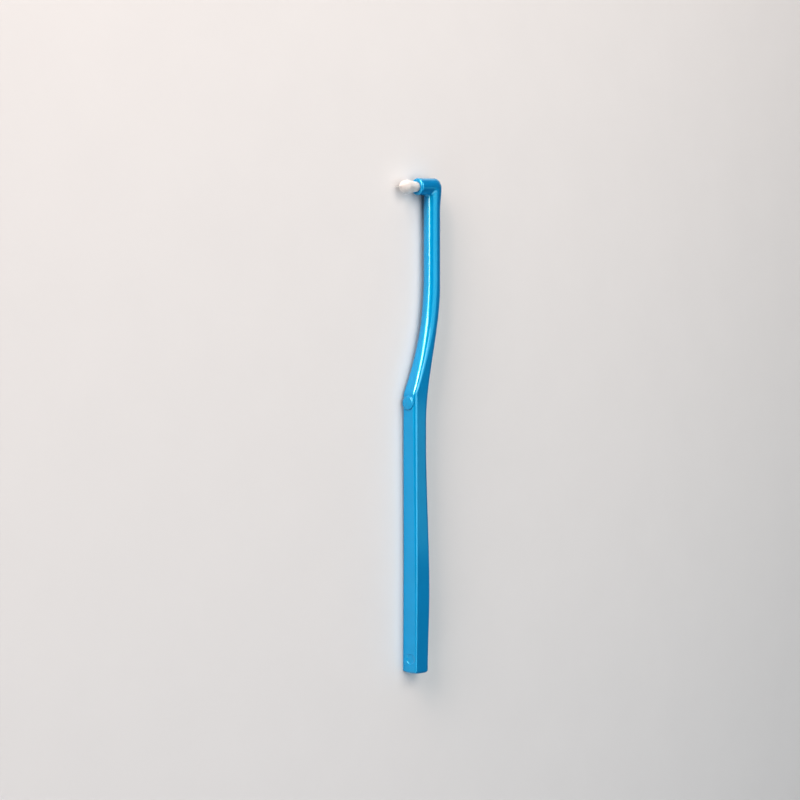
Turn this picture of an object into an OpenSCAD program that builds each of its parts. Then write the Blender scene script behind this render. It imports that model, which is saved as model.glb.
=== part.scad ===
// Single-tuft brush for cleaning between teeth: a moulded handle with a set-back round neck, an elbow
// head at its end, and one pointed tuft of filaments held in the head's bore by a small metal anchor.
// It lies on one flat side of its grip: +X runs towards the head, +Y is the tuft's side, +Z is up.

/* [Handle] */
// Length from the butt to the top of the head
overall_len = 180.5; // [150:0.5:210]
// Width of the grip across its two flat sides
grip_w = 6.65; // [6.25:0.05:9]
// Depth of the grip at the butt
butt_d = 7.5; // [6.5:0.1:9]
// Depth of the grip at the belly, its deepest place
belly_d = 8.4; // [7:0.1:10]
// Distance of the belly from the butt
belly_x = 29.5; // [20:0.5:45]
// Depth of the grip at the waist, below the bend
waist_d = 6.6; // [6:0.1:8]
// Distance of the waist from the butt
waist_x = 84.5; // [70:0.5:88]
// How far the front face rises between the belly and the bend
front_rise = 0.55; // [0:0.05:1.5]
// Distance of the bend from the butt
bend_x = 101.4; // [92:0.2:110]
// Rounding of the edge of the butt's end
butt_round = 0.9; // [0.3:0.1:1.3]
// How far the butt's end is crowned
butt_crown = 0.4; // [0.1:0.05:0.6]
// How far the top of that crown lies behind the middle of the grip
butt_off = 0.95; // [0:0.05:2]
// Corner radius of the front face at the butt
butt_edge_r = 0.45; // [0.3:0.05:1]
// Corner radius of the front face at the bend
bend_edge_r = 1.55; // [0.6:0.05:1.9]
// Corner radius of the back of the grip
back_edge_r = 2; // [1:0.1:2.5]

/* [Neck] */
// Diameter of the round neck
neck_d = 6.15; // [5.4:0.05:6.2]
// How far the neck's axis lies behind the front face of the butt
neck_drop = 12.2; // [9:0.1:14]
// Distance from the butt to where the back starts to fall towards the neck
back_fall_x = 89; // [80:0.5:95]
// Distance from the butt to where the back has reached the neck
back_end_x = 140.5; // [130:0.5:150]
// Distance from the butt to where the width has narrowed to the neck's
narrow_x = 116.5; // [112:0.5:128]
// Distance from the butt to where the section has turned round
round_x = 125.5; // [118:0.5:135]
// Distance from the butt to where the front has reached the neck
neck_x = 144.5; // [132:0.5:150]
// Length of the flare where the neck runs into the head
flare_len = 9.5; // [5:0.5:14]

/* [Head] */
// Diameter of the head
head_d = 6.2; // [6.2:0.05:7]
// Length of the head from the middle of its round back end to its face
head_len = 9.3; // [8.5:0.1:12]
// How far the middle of that round end lies behind the neck's axis
head_set = 0.9; // [0.3:0.1:1.2]
// Lean of the head towards the grip, in degrees
head_lean = 6; // [0:0.5:10]
// Rounding of the edge of the face
face_round = 0.8; // [0.2:0.05:1]
// Diameter of the bore for the tuft
bore_d = 3.5; // [2.8:0.1:3.8]
// Depth of the bore
bore_depth = 4; // [3:0.1:5]

/* [Thumb disc] */
// Diameter of the raised disc on the front face
disc_d = 5.1; // [3:0.1:5.4]
// Height of the disc above the front face
disc_h = 0.8; // [0.5:0.1:1.6]
// Distance of the disc from the butt
disc_x = 97.9; // [90:0.1:98.4]
// Rise of the disc's domed top
disc_dome = 0.15; // [0.1:0.05:0.5]
// Rounding of the disc's edge
disc_round = 0.4; // [0.1:0.05:0.5]

/* [Round mark] */
// Diameter of the plain shallow recess in the front face, at its rim
mark_d = 3.9; // [2.4:0.1:4.2]
// Width of the recess's sloping wall
mark_wall = 0.45; // [0.2:0.05:0.8]
// Depth of the recess
mark_depth = 0.2; // [0.1:0.05:0.4]
// Distance of the recess from the butt
mark_x = 5.4; // [4.6:0.1:12]
// How far the recess lies off the front face's middle line
mark_side = 0.45; // [0:0.05:0.6]

/* [Anchor] */
// Width of the anchor plate, more than the bore so that it bites into the wall
anchor_w = 4.3; // [4:0.1:4.8]
// Thickness of the anchor plate
anchor_t = 0.3; // [0.2:0.05:0.5]
// Height of the anchor plate
anchor_h = 1.6; // [1:0.1:2]

/* [Tuft] */
// Number of strands in the tuft around its point
strands = 348; // [100:1:440]
// Number of longer strands that make the point
point_strands = 7; // [3:1:9]
// Width of one strand
strand_w = 0.15; // [0.08:0.01:0.16]
// Length of the tuft at its rim, from the face
rim_len = 6.2; // [4:0.1:8]
// Length of the tuft at its crown, from the face
crown_len = 8.9; // [7:0.1:11]
// Length of the point, from the face
point_len = 11.6; // [10:0.1:14]
// Width of the tuft where it leaves the face
tuft_base_d = 3.2; // [2.6:0.1:3.3]
// Width of the tuft at its rim
tuft_rim_d = 5; // [3.5:0.1:5.4]
// Width of the bundle of longer strands
point_d = 0.5; // [0.4:0.05:0.7]
// Gap between the packed roots and what is round them
root_gap = 0.04; // [0.02:0.01:0.08]
// Depth of the top of the packed roots below the face
root_sink = 0.3; // [0.2:0.1:0.6]

/* [Hidden] */
$fn = 72;

// How far a cut runs past what it cuts, and how deep a joined form is sunk
over = 0.4;

// Points in each corner of a section, and rings in each stretch of the handle
corner_points = 9;
end_rings = 4;
round_rings = 6;
grip_rings = 26;
crest_rings = 12;
fall_rings = 24;
flare_rings = 7;

// Stretch on each side of the bend that takes closer rings, and how soft the crease there is
crest_len = 3;
crease_soft = 0.35;
// Least corner radius left where the butt is rounded
least_r = 0.12;

// The head's round back end sets its axis, and all y values count from the front face of the butt
neck_r = neck_d / 2;
head_r = head_d / 2;
neck_front_y = -neck_drop + neck_r;
neck_back_y = -neck_drop - neck_r;
head_x = overall_len - head_r;
head_y = -neck_drop - head_set;
flare_x = head_x - flare_len;
// The flare swells the neck's back until it ends this far under the head's round back
flare_cover = 0.08;
flare_rise = head_r + head_set - neck_r - flare_cover;

// Middle of the whole part across the grip, from the head's back to the tuft's point
point_y = head_y + (head_len + point_len) * cos(head_lean);
back_y = head_y - head_r;
middle_y = (point_y + back_y) / 2;

// Depth of the bore's floor along the head's axis, and the anchor and roots that stand on it
floor_z = head_len - bore_depth;
root_top_z = head_len - root_sink;
point_root_d = point_d + strand_w;
point_hole_d = point_root_d + 2 * root_gap;

// Strands leave the roots in this angle to each other, so that they fill a disc evenly
turn_angle = 137.508;

// Share of the way from one place to another, and the same with a soft start and end
function way(x, from, to) = max(0, min(1, (x - from) / (to - from)));
function ease(t) = t * t * (3 - 2 * t);
function soft_way(x, from, to) = ease(way(x, from, to));
// The lesser of two values, rounded off where they cross
function soft_min(a, b, soft) = min(a, b) - pow(max(soft - abs(a - b), 0), 2) / (4 * soft);

// Outline of the handle seen from the side: front and back
function grip_front(x) = front_rise * soft_way(x, belly_x, bend_x);
function fall_share(x) = (neck_x - min(x, neck_x)) / (neck_x - bend_x);
function neck_front(x) = neck_front_y + (front_rise - neck_front_y) * pow(fall_share(x), 2);
function front(x) = soft_min(grip_front(x), neck_front(x), crease_soft);
function flare(x) = flare_rise * pow(way(x, flare_x, head_x), 2);
function back(x) =
    -butt_d
    - (belly_d - butt_d) * soft_way(x, 0, belly_x)
    - (waist_d - belly_d) * soft_way(x, belly_x, waist_x)
    - (-neck_back_y - waist_d) * soft_way(x, back_fall_x, back_end_x)
    - flare(x);

// Half the width, and how far the section has turned from flat sided to round
function half_w(x) = grip_w / 2 + (neck_r - grip_w / 2) * soft_way(x, back_fall_x, narrow_x);
function front_r(x) =
    butt_edge_r
    + (bend_edge_r - butt_edge_r) * way(x, 0, bend_x)
    + (neck_r - bend_edge_r) * way(x, bend_x, round_x);
function back_r(x) = back_edge_r + (neck_r - back_edge_r) * way(x, back_fall_x, round_x);

// One corner of a section: its middle, radius and first angle, with even steps when fully round
function corner(x, middle, r, first, turned) =
    let (lead = 45 / corner_points * turned, sweep = 90 - 2 * lead)
    [for (i = [0:corner_points - 1])
        let (a = first + lead + sweep * i / (corner_points - 1))
        [x, middle[0] + r * cos(a), middle[1] + r * sin(a)]];

// A section: a rectangle with four round corners, drawn in by inset where the butt is rounded
function section(x, inset) =
    let (
        f = front(x) - inset,
        b = back(x) + inset,
        w = half_w(x) - inset,
        most_r = min(w, (f - b) / 2),
        fr = min(most_r, max(front_r(x) - inset, least_r)),
        br = min(most_r, max(back_r(x) - inset, least_r)),
        turned = way(x, bend_x, round_x)
    )
    concat(
        corner(x, [f - fr, w - fr], fr, 0, turned),
        corner(x, [b + br, w - br], br, 90, turned),
        corner(x, [b + br, br - w], br, 180, turned),
        corner(x, [f - fr, fr - w], fr, 270, turned)
    );

// Stations along the handle, closer where the outline turns faster
function even(from, to, count) = [for (i = [0:count - 1]) from + (to - from) * i / count];
crest_from = bend_x - crest_len;
crest_to = bend_x + crest_len;
round_angles = [for (i = [0:round_rings - 1]) 90 * i / round_rings];
body_stations = concat(
    even(butt_round, crest_from, grip_rings),
    even(crest_from, crest_to, crest_rings),
    even(crest_to, neck_x, fall_rings),
    [neck_x],
    even(flare_x, head_x, flare_rings),
    [head_x]
);

// The butt's end is crowned: its points are set back, the more so the further they lie from its top
end_top = [0, -butt_d / 2 - butt_off, 0];
end_edge = section(0, butt_round);
function crown_depth(p) =
    butt_crown / 2 * (pow(2 * (p[1] - end_top[1]) / butt_d, 2) + pow(2 * p[2] / grip_w, 2));
function end_ring(share) = [for (p = end_edge) end_top + (p - end_top) * share];
function settled(ring, share) = [for (p = ring) p + [share * crown_depth(p), 0, 0]];
sections = concat(
    [for (i = [1:end_rings]) settled(end_ring(i / (end_rings + 1)), 1)],
    [for (a = round_angles) settled(section(butt_round * (1 - cos(a)), butt_round * (1 - sin(a))), 1)],
    [for (x = body_stations) settled(section(x, 0), 1 - way(x, butt_round, mark_x - mark_d / 2))]
);

// A skin of triangles over rings of points, closed by a fan at the first ring and flat at the last
module skin(rings, tip) {
    n = len(rings[0]);
    last = len(rings) - 1;
    sides = [for (i = [0:last - 1], j = [0:n - 1], half = [0, 1])
        let (k = (j + 1) % n, a = i * n, b = a + n)
        half == 0 ? [a + j, b + j, b + k] : [a + j, b + k, a + k]];
    start = [for (j = [0:n - 1]) [j, (j + 1) % n, n * len(rings)]];
    end = [[for (j = [n - 1:-1:0]) last * n + j]];
    polyhedron(concat([for (ring = rings, p = ring) p], [tip]), concat(start, end, sides));
}

// Puts the part on its flat side with its origin under the middle
module lay() {
    translate([-overall_len / 2, -middle_y, grip_w / 2]) children();
}

// Puts a form drawn along Z on the head's axis, counted from the middle of its round back end
module on_head() {
    translate([head_x, head_y, 0])
        rotate([0, 0, head_lean])
            rotate([-90, 0, 0]) children();
}

// Puts a form drawn along Z on the front face, counted from the face
module on_front(x) {
    translate([x, front(x), 0]) rotate([-90, 0, 0]) children();
}

// Half outline of a round bar with a rounded upper edge
module bar_outline(r, low, high, edge) {
    translate([0, low]) square([r, high - edge - low]);
    translate([0, low]) square([r - edge, high - low]);
    translate([r - edge, high - edge]) circle(edge);
}

module head_form() {
    rotate_extrude() {
        bar_outline(head_r, 0, head_len, face_round);
        intersection() {
            circle(head_r);
            translate([0, -head_r]) square([head_r, head_r]);
        }
    }
}

module disc_form() {
    disc_r = disc_d / 2;
    dome_r = (disc_r * disc_r + disc_dome * disc_dome) / (2 * disc_dome);
    rotate_extrude() intersection() {
        bar_outline(disc_r, -over, disc_h, disc_round);
        translate([0, disc_h - dome_r]) circle(dome_r);
    }
}

module mark_cut() {
    past_d = mark_d + 2 * mark_wall * over / mark_depth;
    translate([0, -mark_side, -mark_depth])
        cylinder(h = mark_depth + over, d1 = mark_d - 2 * mark_wall, d2 = past_d);
}

// The anchor's plate, which stands on the bore's floor across the grip's flat sides
module anchor_form() {
    translate([-anchor_t / 2, -anchor_w / 2, floor_z]) cube([anchor_t, anchor_w, anchor_h]);
}

module handle() {
    color("#1787c4") lay() difference() {
        union() {
            skin(sections, end_top);
            on_head() head_form();
            on_front(disc_x) disc_form();
        }
        on_front(mark_x) mark_cut();
        on_head() translate([0, 0, floor_z]) cylinder(h = bore_depth + over, d = bore_d);
        on_head() anchor_form();
    }
}

module tuft_anchor() {
    color("#c9b27a") lay() on_head() anchor_form();
}

// One strand: a three-sided spike from its foot in the roots to its tip
module strand(foot, tip, foot_r, tip_r, turn) {
    low = [for (i = [0:2]) foot + [foot_r * cos(turn + 120 * i), foot_r * sin(turn + 120 * i), 0]];
    high = [for (i = [0:2]) tip + [tip_r * cos(turn + 120 * i), tip_r * sin(turn + 120 * i), 0]];
    polyhedron(
        concat(low, high),
        [[0, 1, 2], [5, 4, 3], [0, 3, 1], [1, 3, 4], [1, 4, 2], [2, 4, 5], [2, 5, 0], [0, 5, 3]]
    );
}

// Place of strand i of n in a disc that spans from an inner to an outer radius
function place_r(i, n, inner, outer) =
    sqrt(inner * inner + (outer * outer - inner * inner) * (i + 0.5) / n);

// Tapered tips are this share of a strand's width, and the crown falls to the rim with this power
tip_share = 0.6;
crown_power = 1.5;

module tuft_strands() {
    inner_r = (point_hole_d + strand_w) / 2;
    outer_r = (tuft_base_d - strand_w) / 2;
    spread = tuft_rim_d / tuft_base_d - 1;
    foot_z = root_top_z - over;
    for (i = [0:strands - 1]) {
        r = place_r(i, strands, inner_r, outer_r);
        turn = i * turn_angle;
        crown = 1 - pow(r / outer_r, crown_power);
        length = rim_len + (crown_len - rim_len) * crown;
        out = [cos(turn), sin(turn), 0];
        grow = 1 + spread * length / rim_len;
        foot_grow = 1 - spread * (root_sink + over) / rim_len;
        strand(
            out * r * foot_grow + [0, 0, foot_z],
            out * r * grow + [0, 0, head_len + length],
            strand_w / 2,
            strand_w / 2 * tip_share,
            turn
        );
    }
}

module tuft_filaments() {
    color("#eef2f4") lay() on_head() union() {
        difference() {
            translate([0, 0, floor_z]) cylinder(h = root_top_z - floor_z, d = bore_d - 2 * root_gap);
            translate([0, 0, floor_z - over]) cylinder(h = bore_depth + 2 * over, d = point_hole_d);
            anchor_form();
        }
        tuft_strands();
    }
}

module point_filaments() {
    ring_r = (point_d - strand_w) / 2;
    foot_z = root_top_z - over;
    color("#eef2f4") lay() on_head() union() {
        difference() {
            translate([0, 0, floor_z]) cylinder(h = root_top_z - floor_z, d = point_root_d);
            anchor_form();
        }
        for (i = [0:point_strands - 1]) {
            turn = 360 * i / (point_strands - 1);
            r = i == 0 ? 0 : ring_r;
            out = [cos(turn), sin(turn), 0];
            strand(
                out * r + [0, 0, foot_z],
                out * r * tip_share + [0, 0, head_len + point_len],
                strand_w / 2,
                strand_w / 2 * tip_share,
                turn
            );
        }
    }
}

handle();
tuft_anchor();
tuft_filaments();
point_filaments();
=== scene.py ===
"""Looks of a single-tuft brush: a pearl blue moulded handle and a pointed tuft of white filaments.

The brush lies on one flat side of its grip, +X towards the head, +Y the way the tuft points, +Z up.
Shapes are drawn in millimetres in the handle's own frame (x from the butt, y from the front face of the
butt, z across the flat sides), and to_row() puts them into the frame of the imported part, in metres.
The floor and the lights are placed in that frame.
"""
import math
import random

import bmesh
import bpy
import numpy as np
from mathutils import Matrix, Vector


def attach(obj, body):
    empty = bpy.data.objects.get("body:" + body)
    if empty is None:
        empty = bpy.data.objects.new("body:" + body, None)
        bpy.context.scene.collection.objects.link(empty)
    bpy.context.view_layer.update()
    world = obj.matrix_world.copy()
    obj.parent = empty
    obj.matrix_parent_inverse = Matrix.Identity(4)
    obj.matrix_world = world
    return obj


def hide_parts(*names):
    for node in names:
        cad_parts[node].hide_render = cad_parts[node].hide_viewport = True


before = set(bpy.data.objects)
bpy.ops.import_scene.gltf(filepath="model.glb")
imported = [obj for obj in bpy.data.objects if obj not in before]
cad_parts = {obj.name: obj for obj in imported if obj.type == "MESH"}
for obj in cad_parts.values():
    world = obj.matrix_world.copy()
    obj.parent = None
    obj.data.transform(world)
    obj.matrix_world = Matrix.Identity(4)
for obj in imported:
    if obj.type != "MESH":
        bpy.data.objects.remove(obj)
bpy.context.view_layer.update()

MM = 0.001

# Sizes of the handle, as in the part
OVERALL_LEN = 180.5
GRIP_W = 6.65
BUTT_D = 7.5
BELLY_D = 8.4
BELLY_X = 29.5
WAIST_D = 6.6
WAIST_X = 84.5
FRONT_RISE = 0.55
BEND_X = 101.4
BUTT_ROUND = 0.9
BUTT_CROWN = 0.4
BUTT_OFF = 0.95
BUTT_EDGE_R = 0.45
BEND_EDGE_R = 1.55
BACK_EDGE_R = 2.0
NECK_R = 6.15 / 2
NECK_DROP = 12.2
BACK_FALL_X = 89.0
BACK_END_X = 140.5
NARROW_X = 116.5
ROUND_X = 125.5
NECK_X = 144.5
FLARE_LEN = 9.5
CREASE_SOFT = 0.35
LEAST_R = 0.12

# Sizes of the head
HEAD_R = 6.2 / 2
HEAD_LEN = 9.3
HEAD_SET = 0.9
HEAD_LEAN = math.radians(6)
FACE_ROUND = 0.8
ELBOW_FILLET = 0.45
BORE_R = 3.5 / 2
BORE_EDGE_R = 0.1
BORE_DEPTH = 4.0

# Sizes of the disc at the bend, which stands on the front face with a fine fillet
DISC_R = 5.1 / 2
DISC_H = 0.8
DISC_X = 97.9
DISC_DOME = 0.15
DISC_EDGE_R = 0.5
DISC_EDGE_DEGREES = 80
DISC_FILLET = 0.12
DISC_SINK = 0.01
DISC_SLOPE_REACH = 1.0
DISC_DOME_SHARES = (0.85, 0.65, 0.45, 0.25, 0.08)

# Sizes of the round mark near the butt, a little deeper than in the part
MARK_R = 3.9 / 2
MARK_WALL = 0.35
MARK_DEPTH = 0.28
MARK_X = 5.4
MARK_Z = 0.45
MARK_BAND = 0.05

# Sizes of the tuft, with lengths from the face of the head
RIM_LEN = 6.0
CROWN_LEN = 8.3
CROWN_POWER = 2.0
CROWN_JITTER = 0.07
TUFT_BASE_R = 3.3 / 2
TUFT_RIM_R = 4.7 / 2
TUFT_BEND = 0.03
FILAMENT_R = 0.065
ROOT_DEPTH = 1.2
FILAMENTS = 860
TURN_ANGLE = math.radians(137.508)
TUFT_SEED = 11

# The longer filaments in the middle: they end lower and draw in more, the further out they stand
POINT_LEN = 11.6
POINT_R = 0.2
POINT_FALL = 0.9
POINT_DRAW_SHARE = 0.25
POINT_FIRST_SHARE = 0.2
POINT_JITTER = 0.03
POINT_BEND = 0.02
POINT_TIP_ROOM = 0.05
POINT_FILAMENTS = 9
POINT_SEED = 5

# Filaments that stand off from the tuft: degrees round it, length and lean at the rim
STRAYS = [(264, 6.3, 1.15), (281, 5.2, 1.0), (76, 6.0, 0.95)]
STRAY_SET = 2.2 * FILAMENT_R
STRAY_CURVE = 1.3

# Fineness of the handle's mesh: counts, and millimetres from one section to the next
RING_POINTS = 132
ARC_SAMPLES = 24
CORNER_PULL = 0.55
LEAST_FLAT = 1e-4
BUTT_END_SHARES = (0.06, 0.2, 0.35, 0.5, 0.65, 0.8, 0.92)
BUTT_EDGE_STEPS = 11
BUTT_STEP = 0.3
MARK_STEP = 0.07
GRIP_STEP = 0.8
CREASE_STEP = 0.15
SLOPE_STEP = 0.5
NECK_STEP = 1.2
FLARE_STEP = 0.3
ELBOW_STEPS = 45
OUTLINE_SAMPLES = 40
HEAD_SAMPLES = 20
HEAD_STEP = 0.4
FACE_EDGE_STEPS = 10
BORE_EDGE_STEPS = 5
BORE_STEP = 0.5
DISC_POINTS = 96
DISC_FILLET_STEPS = 7
DISC_EDGE_STEPS = 8

# Fineness of a filament, and the sideways share of the direction that its sides are counted from
FILAMENT_SIDES = 6
FILAMENT_STEPS = 7
FIRST_SIDE_SHARE = 0.1
# Rings of a filament's rounded tip: how far past its route and how wide, as shares of its radius
TIP_SHARES = ((0.6, 0.8), (0.95, 0.35))

# Places that follow from the sizes
NECK_FRONT_Y = NECK_R - NECK_DROP
NECK_BACK_Y = -NECK_R - NECK_DROP
HEAD_X = OVERALL_LEN - HEAD_R
HEAD_Y = -NECK_DROP - HEAD_SET
FLARE_X = HEAD_X - FLARE_LEN
FLARE_RISE = HEAD_R + HEAD_SET - NECK_R
POINT_Y = HEAD_Y + (HEAD_LEN + POINT_LEN) * math.cos(HEAD_LEAN)
BACK_Y = HEAD_Y - HEAD_R
MIDDLE_Y = (POINT_Y + BACK_Y) / 2
ROW_SHIFT = np.array([-OVERALL_LEN / 2, -MIDDLE_Y, GRIP_W / 2])
BUTT_TOP = np.array([0.0, -BUTT_D / 2 - BUTT_OFF, 0.0])

# Stretches with denser sections: across the mark, and over the crease at the bend
MARK_MARGIN = 0.1
MARK_FROM = MARK_X - MARK_R - MARK_MARGIN
MARK_TO = MARK_X + MARK_R + MARK_MARGIN
CREASE_REACH = 3.0
CREASE_FROM = BEND_X - CREASE_REACH
CREASE_TO = BEND_X + CREASE_REACH

# Directions of the head, and the pivot of the elbow: the middle of the small fillet between the neck and
# the underside of the head
HEAD_AXIS = np.array([-math.sin(HEAD_LEAN), math.cos(HEAD_LEAN), 0.0])
HEAD_UP = np.array([math.cos(HEAD_LEAN), math.sin(HEAD_LEAN), 0.0])
HEAD_SIDE = np.array([0.0, 0.0, 1.0])
HEAD_MIDDLE = np.array([HEAD_X, HEAD_Y, 0.0])
UNDER_HEAD = HEAD_MIDDLE - (HEAD_R + ELBOW_FILLET) * HEAD_UP
PIVOT_REACH = (NECK_FRONT_Y + ELBOW_FILLET - UNDER_HEAD[1]) / HEAD_AXIS[1]
ELBOW_PIVOT = UNDER_HEAD + PIVOT_REACH * HEAD_AXIS
ELBOW_TURN = math.pi / 2 + HEAD_LEAN

# Camera, in millimetres in the handle's frame: it looks down on the corner between the front face and the
# upper side face, with the head up in the picture
VIEW_TURN = math.radians(43)
VIEW_DISTANCE = 519.0
FRAME_PX = 800.0
MM_PER_PX = 0.3629
SENSOR = 36.0
# The picture's middle lies this far to the left of the grip's axis, and at this place along the handle
MIDDLE_LEFT_PX = 16.1
MIDDLE_X = 99.0
AXIS_Y = -3.6
# The camera's nearest and furthest distance, in metres
CLIP_NEAR = 0.01
CLIP_FAR = 20

# Floor, soft light and backdrop, in metres
FLOOR_HALF = 8.0
WHITE = (1.0, 1.0, 1.0)
PEACH = (1.0, 0.74, 0.62)
ALONG_X = (1, 0, 0)
# Rectangles of light: name, middle, point faced, two sizes, brightness, colour, direction of the first size
SOFT_BOXES = [
    ("overhead", (-0.2, 0.02, 0.7), (-0.2, 0.02, 0), (0.6, 0.8), 0.85, (0.93, 1.0, 1.04), ALONG_X),
    ("overhead_slope", (0.34, 0.08, 0.7), (0.34, 0.08, 0), (0.16, 0.56), 2.5, (1.0, 0.78, 0.64), ALONG_X),
    ("overhead_far", (0.66, 0.0, 0.7), (0.66, 0.0, 0), (0.48, 0.74), 2.45, (1.0, 0.9, 0.83), ALONG_X),
    ("side_card", (0.3, 1.2, 0.15), (0.3, 0, 0.15), (0.34, 0.3), 7.5, PEACH, ALONG_X),
    ("side_card_far", (0.85, 1.2, 0.32), (0.85, 0, 0.32), (0.76, 0.64), 8.6, PEACH, ALONG_X),
    ("corner_card", (1.3, 1.0, 0.3), (0, 0, 0.3), (0.7, 0.6), 9.0, (1.0, 0.76, 0.64), (-1, 1, 0)),
    ("end_card", (1.5, 0.1, 0.2), (0, 0.1, 0.2), (1.2, 0.4), 2.2, (1.0, 0.95, 0.9), (0, 1, 0)),
    ("low_card", (-0.85, 1.0, 0.2), (-0.1, 0, 0), (1.0, 0.4), 2.2, WHITE, ALONG_X),
    ("back_spot", (-0.06, -0.66, 0.61), (-0.06, 0, 0), (0.16, 0.2), 0.35, (0.7, 1.6, 1.5), ALONG_X),
]
CEILING_SPREAD = math.radians(60)
CEILING_STRENGTH = 0.45
HORIZON_STRENGTH = 0.16
SKY_STRENGTH = 0.09
HORIZON_TOP = 0.3


def to_row(points):
    """Millimetres in the handle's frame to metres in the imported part's frame."""
    return (np.asarray(points, float) + ROW_SHIFT) * MM


def way(x, start, end):
    """Share of the way from start to end, held at 0 before it and at 1 after it."""
    return float(np.clip((x - start) / (end - start), 0.0, 1.0))


def ease(t):
    return t * t * (3 - 2 * t)


def soft_way(x, start, end):
    return ease(way(x, start, end))


def soft_min(a, b, soft):
    """The smaller of two values, rounded over where they are nearly alike."""
    return min(a, b) - max(soft - abs(a - b), 0.0) ** 2 / (4 * soft)


def spaced(start, end, step):
    """Places from start up to but not including end, about a step apart."""
    count = max(1, round((end - start) / step))
    return [start + (end - start) * i / count for i in range(count)]


def turns(degrees, steps):
    """Angles in radians from 0 to a number of degrees, in even steps."""
    return np.radians(np.linspace(0, degrees, steps + 1))


# Outline of the handle, by the place along it


def front(x):
    """The grip's front face, then the fall of the slope to the neck, with a soft crease between."""
    grip = FRONT_RISE * soft_way(x, BELLY_X, BEND_X)
    fall = (NECK_X - min(x, NECK_X)) / (NECK_X - BEND_X)
    neck = NECK_FRONT_Y + (FRONT_RISE - NECK_FRONT_Y) * fall**2
    return soft_min(grip, neck, CREASE_SOFT)


def back(x):
    """From the butt out to the belly, in to the waist, down the slope and out again to the head."""
    y = -BUTT_D
    y -= (BELLY_D - BUTT_D) * soft_way(x, 0, BELLY_X)
    y -= (WAIST_D - BELLY_D) * soft_way(x, BELLY_X, WAIST_X)
    y -= (-NECK_BACK_Y - WAIST_D) * soft_way(x, BACK_FALL_X, BACK_END_X)
    return y - FLARE_RISE * soft_way(x, FLARE_X, HEAD_X)


def half_width(x):
    return GRIP_W / 2 + (NECK_R - GRIP_W / 2) * soft_way(x, BACK_FALL_X, NARROW_X)


def front_radius(x):
    r = BUTT_EDGE_R + (BEND_EDGE_R - BUTT_EDGE_R) * way(x, 0, BEND_X)
    return r + (NECK_R - BEND_EDGE_R) * way(x, BEND_X, ROUND_X)


def back_radius(x):
    return BACK_EDGE_R + (NECK_R - BACK_EDGE_R) * way(x, BACK_FALL_X, ROUND_X)


# Sections of the handle: closed outlines of RING_POINTS points, denser round tight corners


def rounded_section(front_y, back_y, half_w, front_r, back_r):
    """Dense outline (y, z) of a rectangle with round corners, from the middle of the back."""
    most = min(half_w, (front_y - back_y) / 2) - LEAST_FLAT
    front_r, back_r = min(front_r, most), min(back_r, most)
    corners = [
        (back_y + back_r, half_w - back_r, back_r, 180, 90),
        (front_y - front_r, half_w - front_r, front_r, 90, 0),
        (front_y - front_r, front_r - half_w, front_r, 0, -90),
        (back_y + back_r, back_r - half_w, back_r, -90, -180),
    ]
    points = [(back_y, 0.0)]
    for y, z, r, first, last in corners:
        for a in np.radians(np.linspace(first, last, ARC_SAMPLES)):
            points.append((y + r * math.cos(a), z + r * math.sin(a)))
    points.append((back_y, 0.0))
    return np.array(points)


def respaced(outline):
    """RING_POINTS points of a dense closed outline, closer together where it turns faster."""
    steps = np.diff(outline, axis=0)
    length = np.hypot(steps[:, 0], steps[:, 1])
    heading = np.unwrap(np.arctan2(steps[:, 1], steps[:, 0]))
    turned = np.abs(np.gradient(heading))
    weight = length / length.sum() + CORNER_PULL * turned / turned.sum()
    along = np.concatenate([[0.0], np.cumsum(weight)])
    along /= along[-1]
    wanted = np.arange(RING_POINTS) / RING_POINTS
    y = np.interp(wanted, along, outline[:, 0])
    z = np.interp(wanted, along, outline[:, 1])
    return np.stack([y, z], axis=1)


def oval_section(middle, depth_r, width_r):
    """Evenly spaced outline (y, z) of an oval, from the middle of its back."""
    a = math.pi - np.arange(RING_POINTS) / RING_POINTS * 2 * math.pi
    return np.stack([middle + depth_r * np.cos(a), width_r * np.sin(a)], axis=1)


def grip_ring(x, inset=0.0):
    front_r = max(front_radius(x) - inset, LEAST_R)
    back_r = max(back_radius(x) - inset, LEAST_R)
    outline = rounded_section(front(x) - inset, back(x) + inset, half_width(x) - inset, front_r, back_r)
    return np.column_stack([np.full(RING_POINTS, x), respaced(outline)])


def neck_ring(x):
    front_y, back_y = front(x), back(x)
    outline = oval_section((front_y + back_y) / 2, (front_y - back_y) / 2, half_width(x))
    return np.column_stack([np.full(RING_POINTS, x), outline])


def set_back(ring, share):
    """Moves the points of a ring towards the head, the more so the further they lie from the butt's top."""
    out = ring.copy()
    y = 2 * (ring[:, 1] - BUTT_TOP[1]) / BUTT_D
    z = 2 * ring[:, 2] / GRIP_W
    out[:, 0] += share * BUTT_CROWN * (y**2 + z**2) / 2
    return out


def with_mark(ring):
    """Sinks the plain round mark into the front face where a ring of points crosses it."""
    out = ring.copy()
    on_front = ring[:, 1] > front(ring[0, 0]) - MARK_BAND
    inside = MARK_R - np.hypot(ring[:, 0] - MARK_X, ring[:, 2] - MARK_Z)
    share = np.clip(inside / MARK_WALL, 0, 1)
    out[on_front, 1] -= (MARK_DEPTH * ease(share))[on_front]
    return out


def butt_rings():
    """The crowned end in growing copies of the grip's outline, then the rounding of its edge."""
    edge = grip_ring(0.0, BUTT_ROUND)
    rings = [BUTT_TOP + (edge - BUTT_TOP) * share for share in BUTT_END_SHARES]
    for a in turns(90, BUTT_EDGE_STEPS)[:-1]:
        rings.append(grip_ring(BUTT_ROUND * (1 - math.cos(a)), BUTT_ROUND * (1 - math.sin(a))))
    return [set_back(ring, 1.0) for ring in rings]


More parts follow.
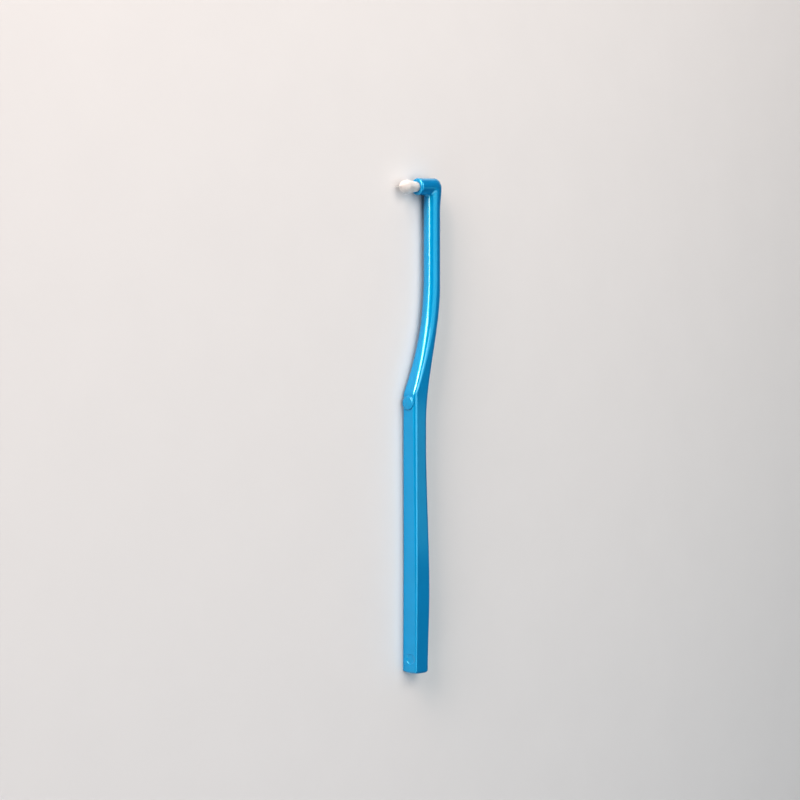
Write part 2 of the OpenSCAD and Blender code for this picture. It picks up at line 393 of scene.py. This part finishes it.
def shank_rings():
    """Grip, bend and neck up to where the elbow starts."""
    stations = spaced(BUTT_ROUND, MARK_FROM, BUTT_STEP)
    stations += spaced(MARK_FROM, MARK_TO, MARK_STEP)
    stations += spaced(MARK_TO, CREASE_FROM, GRIP_STEP)
    stations += spaced(CREASE_FROM, CREASE_TO, CREASE_STEP)
    stations += spaced(CREASE_TO, NECK_X, SLOPE_STEP)
    rings = [set_back(with_mark(grip_ring(x)), 1 - way(x, BUTT_ROUND, MARK_FROM)) for x in stations]
    stations = spaced(NECK_X, FLARE_X, NECK_STEP) + spaced(FLARE_X, ELBOW_PIVOT[0], FLARE_STEP)
    return rings + [neck_ring(x) for x in stations]


# Elbow: sections turn about the pivot, just outside the inner corner


def elbow_outline():
    """Outer edge of the elbow in the plane through the tuft: neck's back, round end, top of the head."""
    points = [np.array([x, back(x), 0.0]) for x in np.linspace(FLARE_X, HEAD_X, OUTLINE_SAMPLES)]
    for a in np.linspace(0, ELBOW_TURN, OUTLINE_SAMPLES)[1:]:
        points.append(HEAD_MIDDLE + HEAD_R * np.array([math.sin(a), -math.cos(a), 0.0]))
    for s in np.linspace(0, HEAD_LEN, HEAD_SAMPLES)[1:]:
        points.append(HEAD_MIDDLE + HEAD_R * HEAD_UP + s * HEAD_AXIS)
    return np.array(points)


def elbow_rings():
    """Ovals that reach from the fillet at the inner corner to the outer edge."""
    from_pivot = elbow_outline() - ELBOW_PIVOT
    angle = np.arctan2(from_pivot[:, 0], -from_pivot[:, 1])
    reach = np.hypot(from_pivot[:, 0], from_pivot[:, 1])
    order = np.argsort(angle)
    rings = []
    for a in np.linspace(0, ELBOW_TURN, ELBOW_STEPS + 1)[:-1]:
        outer = float(np.interp(a, angle[order], reach[order]))
        out = np.array([math.sin(a), -math.cos(a), 0.0])
        wide = NECK_R + (HEAD_R - NECK_R) * ease(a / ELBOW_TURN)
        section = oval_section(0.0, (outer - ELBOW_FILLET) / 2, wide)
        away = (outer + ELBOW_FILLET) / 2 - section[:, 0]
        rings.append(ELBOW_PIVOT + away[:, None] * out + section[:, 1:2] * HEAD_SIDE)
    return rings


def head_ring(s, r):
    """A circle round the head's axis, s from the middle of its round end."""
    section = oval_section(0.0, r, r)
    middle = HEAD_MIDDLE + s * HEAD_AXIS
    return middle - section[:, :1] * HEAD_UP + section[:, 1:2] * HEAD_SIDE


def head_rings():
    """Barrel, rounded edge, face, bore and its floor."""
    barrel_from = float((ELBOW_PIVOT - HEAD_MIDDLE) @ HEAD_AXIS)
    rings = [head_ring(s, HEAD_R) for s in spaced(barrel_from, HEAD_LEN - FACE_ROUND, HEAD_STEP)]
    for a in turns(90, FACE_EDGE_STEPS):
        s = HEAD_LEN - FACE_ROUND * (1 - math.sin(a))
        rings.append(head_ring(s, HEAD_R - FACE_ROUND * (1 - math.cos(a))))
    for a in turns(90, BORE_EDGE_STEPS):
        s = HEAD_LEN - BORE_EDGE_R * (1 - math.cos(a))
        rings.append(head_ring(s, BORE_R + BORE_EDGE_R * (1 - math.sin(a))))
    bottom = HEAD_LEN - BORE_DEPTH
    rings += [head_ring(s, BORE_R) for s in spaced(HEAD_LEN - 2 * BORE_EDGE_R, bottom, -BORE_STEP)]
    return rings + [head_ring(bottom, BORE_R), head_ring(bottom, BORE_R / 2)]


# Disc at the bend


def disc_profile():
    """Radii and heights over the front face: a fillet, a wall, a rounded edge and a low dome."""
    profile = []
    for a in turns(90, DISC_FILLET_STEPS):
        r = DISC_R + DISC_FILLET * (1 - math.sin(a))
        profile.append((r, DISC_FILLET * (1 - math.cos(a)) - DISC_SINK))
    edge_up = DISC_H - DISC_DOME - DISC_EDGE_R
    for a in turns(DISC_EDGE_DEGREES, DISC_EDGE_STEPS):
        r = DISC_R - DISC_EDGE_R * (1 - math.cos(a))
        profile.append((r, edge_up + DISC_EDGE_R * math.sin(a)))
    top_r, top_up = profile[-1]
    for share in DISC_DOME_SHARES:
        profile.append((top_r * share, top_up + (DISC_H - top_up) * (1 - share**2)))
    return profile


def disc_rings():
    """The fillet follows the front face, and all above it stands on a plane through the disc's middle."""
    rise = front(DISC_X + DISC_SLOPE_REACH) - front(DISC_X - DISC_SLOPE_REACH)
    slope = rise / (2 * DISC_SLOPE_REACH)
    a = np.arange(DISC_POINTS) / DISC_POINTS * 2 * math.pi
    rings = []
    for r, up in disc_profile():
        x = DISC_X + r * np.cos(a)
        if up < DISC_FILLET:
            foot = np.array([front(v) for v in x])
        else:
            foot = front(DISC_X) + slope * (x - DISC_X)
        rings.append(np.column_stack([x, foot + up, r * np.sin(a)]))
    return rings


# Mesh making


def linked(name, data):
    """A new object in the scene, for a mesh, a camera or a light."""
    item = bpy.data.objects.new(name, data)
    bpy.context.scene.collection.objects.link(item)
    return item


def skin(bm, rings, close_start=True):
    """Adds a skin of quads over closed rings, capped at the last and, with close_start, at the first."""
    rows = [[bm.verts.new(p) for p in to_row(ring)] for ring in rings]
    count = len(rows[0])
    for a, b in zip(rows, rows[1:]):
        for j in range(count):
            k = (j + 1) % count
            bm.faces.new((a[j], b[j], b[k], a[k]))
    if close_start:
        bm.faces.new(rows[0])
    bm.faces.new(list(reversed(rows[-1])))


def finished(bm, name):
    """A new smooth-shaded object made of all that bm holds."""
    mesh = bpy.data.meshes.new(name)
    bm.to_mesh(mesh)
    bm.free()
    mesh.polygons.foreach_set("use_smooth", [True] * len(mesh.polygons))
    mesh.update()
    return linked(name, mesh)


def make_handle():
    bm = bmesh.new()
    skin(bm, butt_rings() + shank_rings() + elbow_rings() + head_rings())
    skin(bm, disc_rings(), close_start=False)
    bmesh.ops.recalc_face_normals(bm, faces=bm.faces)
    return finished(bm, "handle_moulding")


# Filaments


def on_head(s, side, up):
    """A point by its distance along the head's axis and its places across it."""
    return HEAD_MIDDLE + s * HEAD_AXIS + side * HEAD_SIDE + up * HEAD_UP


def filament_path(rng, r, turn, length, lean, bend, curve=1.0):
    """Route of one filament: up its place in the bore, then out by lean at the rim, with a slight bend."""
    bend_side = rng.gauss(0, bend)
    bend_up = rng.gauss(0, bend)
    points = []
    for i in range(FILAMENT_STEPS + 1):
        h = -ROOT_DEPTH + (length + ROOT_DEPTH) * (i / FILAMENT_STEPS)
        reach = max(h, 0) / RIM_LEN
        place = r + lean * reach**curve
        side = place * math.cos(turn) + bend_side * reach**2
        up = place * math.sin(turn) + bend_up * reach**2
        points.append(on_head(HEAD_LEN + h, side, up))
    return points


def add_filament(bm, path):
    """Adds a round filament with a rounded tip; its rings run from the tip to the root."""
    across = np.cross(path[1] - path[0], HEAD_UP + FIRST_SIDE_SHARE * HEAD_SIDE)
    across /= np.linalg.norm(across)
    tip = path[-1] - path[-2]
    tip /= np.linalg.norm(tip)
    radii = [FILAMENT_R] * len(path) + [FILAMENT_R * wide for far, wide in TIP_SHARES]
    path = path + [path[-1] + tip * FILAMENT_R * far for far, wide in TIP_SHARES]
    rings = []
    for i, (p, radius) in enumerate(zip(path, radii)):
        ahead = path[min(i + 1, len(path) - 1)] - path[max(i - 1, 0)]
        ahead /= np.linalg.norm(ahead)
        u = across - ahead * (across @ ahead)
        u /= np.linalg.norm(u)
        v = np.cross(ahead, u)
        angles = [2 * math.pi * j / FILAMENT_SIDES for j in range(FILAMENT_SIDES)]
        rings.append([p + radius * (u * math.cos(a) + v * math.sin(a)) for a in angles])
    skin(bm, rings[::-1])


def make_tuft():
    """The main filaments, longer towards the middle and leaning out towards the rim, and the strays."""
    rng = random.Random(TUFT_SEED)
    bm = bmesh.new()
    outer = TUFT_BASE_R - FILAMENT_R
    inner = POINT_R + FILAMENT_R
    spread = TUFT_RIM_R - TUFT_BASE_R
    for i in range(FILAMENTS):
        r = math.sqrt(inner**2 + (outer**2 - inner**2) * (i + 0.5) / FILAMENTS)
        share = (r - inner) / (outer - inner)
        length = RIM_LEN + (CROWN_LEN - RIM_LEN) * (1 - share**CROWN_POWER) + rng.gauss(0, CROWN_JITTER)
        add_filament(bm, filament_path(rng, r, i * TURN_ANGLE, length, spread * share, TUFT_BEND))
    for degrees, length, lean in STRAYS:
        turn = math.radians(degrees)
        add_filament(bm, filament_path(rng, outer + STRAY_SET, turn, length, lean, 0.0, STRAY_CURVE))
    return finished(bm, "tuft")


def make_point():
    rng = random.Random(POINT_SEED)
    bm = bmesh.new()
    for i in range(POINT_FILAMENTS):
        r = POINT_R * math.sqrt((i + POINT_FIRST_SHARE) / POINT_FILAMENTS)
        length = POINT_LEN - POINT_TIP_ROOM - POINT_FALL * (r / POINT_R) ** 2 + rng.gauss(0, POINT_JITTER)
        add_filament(bm, filament_path(rng, r, i * TURN_ANGLE, length, -POINT_DRAW_SHARE * r, POINT_BEND))
    return finished(bm, "tuft_point")


# Materials


def new_material(name):
    mat = bpy.data.materials.new(name)
    mat.use_nodes = True
    tree = mat.node_tree
    tree.nodes.clear()
    out = tree.nodes.new("ShaderNodeOutputMaterial")
    shader = tree.nodes.new("ShaderNodeBsdfPrincipled")
    tree.links.new(shader.outputs["BSDF"], out.inputs["Surface"])
    return mat, tree, shader


def noise(tree, scale, detail, rough):
    """A 0 to 1 value that varies over the object."""
    place = tree.nodes.new("ShaderNodeTexCoord")
    grain = tree.nodes.new("ShaderNodeTexNoise")
    grain.inputs["Scale"].default_value = scale
    grain.inputs["Detail"].default_value = detail
    grain.inputs["Roughness"].default_value = rough
    tree.links.new(place.outputs["Object"], grain.inputs["Vector"])
    return grain.outputs["Fac"]


def mapped(tree, source, low, high, socket):
    """Feeds a 0 to 1 value, spread between low and high, into a socket."""
    spread = tree.nodes.new("ShaderNodeMapRange")
    spread.inputs["To Min"].default_value = low
    spread.inputs["To Max"].default_value = high
    tree.links.new(source, spread.inputs["Value"])
    tree.links.new(spread.outputs["Result"], socket)
    return spread


def tinted(tree, source, first, last, shader, first_at=0.0, last_at=1.0):
    """Gives a shader a base colour between two, by a 0 to 1 value."""
    ramp = tree.nodes.new("ShaderNodeValToRGB")
    ends = ramp.color_ramp.elements
    ends[0].position = first_at
    ends[0].color = (*first, 1)
    ends[1].position = last_at
    ends[1].color = (*last, 1)
    tree.links.new(source, ramp.inputs["Fac"])
    tree.links.new(ramp.outputs["Color"], shader.inputs["Base Color"])


def pearl_blue():
    mat, tree, shader = new_material("pearl_blue_plastic")
    cloud = noise(tree, scale=60, detail=4, rough=0.6)
    tinted(tree, cloud, (0.0, 0.205, 0.46), (0.0, 0.225, 0.50), shader, first_at=0.3, last_at=0.7)
    fine = noise(tree, scale=900, detail=2, rough=0.5)
    mapped(tree, fine, 0.3, 0.42, shader.inputs["Roughness"])
    shader.inputs["IOR"].default_value = 2.1
    shader.inputs["Specular Tint"].default_value = (0.0, 0.9, 0.95, 1)
    shader.inputs["Coat Weight"].default_value = 1.0
    shader.inputs["Coat Roughness"].default_value = 0.11
    shader.inputs["Coat IOR"].default_value = 1.65
    bump = tree.nodes.new("ShaderNodeBump")
    bump.inputs["Strength"].default_value = 0.05
    bump.inputs["Distance"].default_value = 0.0001
    tree.links.new(fine, bump.inputs["Height"])
    tree.links.new(bump.outputs["Normal"], shader.inputs["Normal"])
    return mat


def white_nylon():
    mat, tree, shader = new_material("white_nylon")
    cloud = noise(tree, scale=1500, detail=2, rough=0.5)
    tinted(tree, cloud, (0.92, 0.96, 0.98), (0.94, 0.98, 0.99), shader)
    mapped(tree, cloud, 0.35, 0.5, shader.inputs["Roughness"])
    shader.inputs["Subsurface Weight"].default_value = 0.7
    shader.inputs["Subsurface Radius"].default_value = (0.0008, 0.0008, 0.0008)
    shader.inputs["Subsurface Scale"].default_value = 1.0
    return mat


def anchor_brass():
    mat, tree, shader = new_material("anchor_brass")
    fine = noise(tree, scale=2500, detail=3, rough=0.6)
    tinted(tree, fine, (0.55, 0.42, 0.2), (0.7, 0.56, 0.3), shader)
    mapped(tree, fine, 0.25, 0.45, shader.inputs["Roughness"])
    shader.inputs["Metallic"].default_value = 1.0
    return mat


def floor_paper():
    mat, tree, shader = new_material("floor_paper")
    cloud = noise(tree, scale=40, detail=3, rough=0.5)
    tinted(tree, cloud, (0.635, 0.665, 0.69), (0.655, 0.685, 0.71), shader)
    shader.inputs["Roughness"].default_value = 0.6
    return mat


def wear(piece, mat):
    piece.data.materials.clear()
    piece.data.materials.append(mat)


# Floor, camera and light


def make_floor():
    mesh = bpy.data.meshes.new("floor")
    corners = [(x * FLOOR_HALF, y * FLOOR_HALF, 0) for x, y in ((-1, -1), (1, -1), (1, 1), (-1, 1))]
    mesh.from_pydata(corners, [], [(0, 1, 2, 3)])
    floor = linked("floor", mesh)
    wear(floor, floor_paper())
    return floor


def put(item, place, right, up, behind):
    """Places a camera or a light by the directions of its three own axes; it looks away from the last."""
    turn = Matrix((right, up, behind)).transposed().to_4x4()
    item.matrix_world = Matrix.Translation(Vector(place)) @ turn


def make_camera():
    toward = np.array([0.0, math.cos(VIEW_TURN), math.sin(VIEW_TURN)])
    right = np.array([0.0, -math.sin(VIEW_TURN), math.cos(VIEW_TURN)])
    upward = np.array([1.0, 0.0, 0.0])
    aim = np.array([MIDDLE_X, AXIS_Y, 0.0]) - MIDDLE_LEFT_PX * MM_PER_PX * right
    data = bpy.data.cameras.new("camera")
    data.sensor_width = SENSOR
    data.lens = SENSOR * VIEW_DISTANCE / (FRAME_PX * MM_PER_PX)
    data.clip_start = CLIP_NEAR
    data.clip_end = CLIP_FAR
    camera = linked("camera", data)
    put(camera, to_row(aim + VIEW_DISTANCE * toward), right, upward, toward)
    return camera


def add_soft_box(name, place, aim_at, size, brightness, colour, first_side):
    """A rectangle of even brightness that faces aim_at, hidden from the camera itself."""
    data = bpy.data.lights.new(name, "AREA")
    data.shape = "RECTANGLE"
    data.size, data.size_y = size
    data.energy = brightness * math.pi * size[0] * size[1]
    data.color = colour
    light = linked(name, data)
    light.visible_camera = False
    away = (Vector(place) - Vector(aim_at)).normalized()
    along = Vector(first_side)
    along = (along - along.dot(away) * away).normalized()
    put(light, place, along, away.cross(along), away)


def add_ceiling():
    """A wide soft light from straight above, so that the far floor isn't dark."""
    data = bpy.data.lights.new("ceiling", "SUN")
    data.angle = CEILING_SPREAD
    data.energy = CEILING_STRENGTH
    linked("ceiling", data)


def make_world():
    """A plain white backdrop, stronger at the horizon than above it."""
    world = bpy.data.worlds.new("studio")
    world.use_nodes = True
    tree = world.node_tree
    backdrop = tree.nodes["Background"]
    backdrop.inputs["Color"].default_value = (1, 1, 1, 1)
    direction = tree.nodes.new("ShaderNodeTexCoord")
    split = tree.nodes.new("ShaderNodeSeparateXYZ")
    tree.links.new(direction.outputs["Generated"], split.inputs["Vector"])
    strength = backdrop.inputs["Strength"]
    fade = mapped(tree, split.outputs["Z"], HORIZON_STRENGTH, SKY_STRENGTH, strength)
    fade.interpolation_type = "SMOOTHSTEP"
    fade.inputs["From Max"].default_value = HORIZON_TOP
    return world


# Build the pieces

handle = make_handle()
wear(handle, pearl_blue())
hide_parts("handle")
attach(handle, "root")

nylon = white_nylon()
tuft = make_tuft()
wear(tuft, nylon)
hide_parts("tuft_filaments")
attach(tuft, "root")

point = make_point()
wear(point, nylon)
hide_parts("point_filaments")
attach(point, "root")

wear(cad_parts["tuft_anchor"], anchor_brass())

# Set the stage

floor = make_floor()

bpy.context.scene.camera = make_camera()
for row in SOFT_BOXES:
    add_soft_box(*row)
add_ceiling()
bpy.context.scene.world = make_world()
bpy.context.scene.view_settings.view_transform = "Standard"
bpy.context.scene.view_settings.look = "High Contrast"
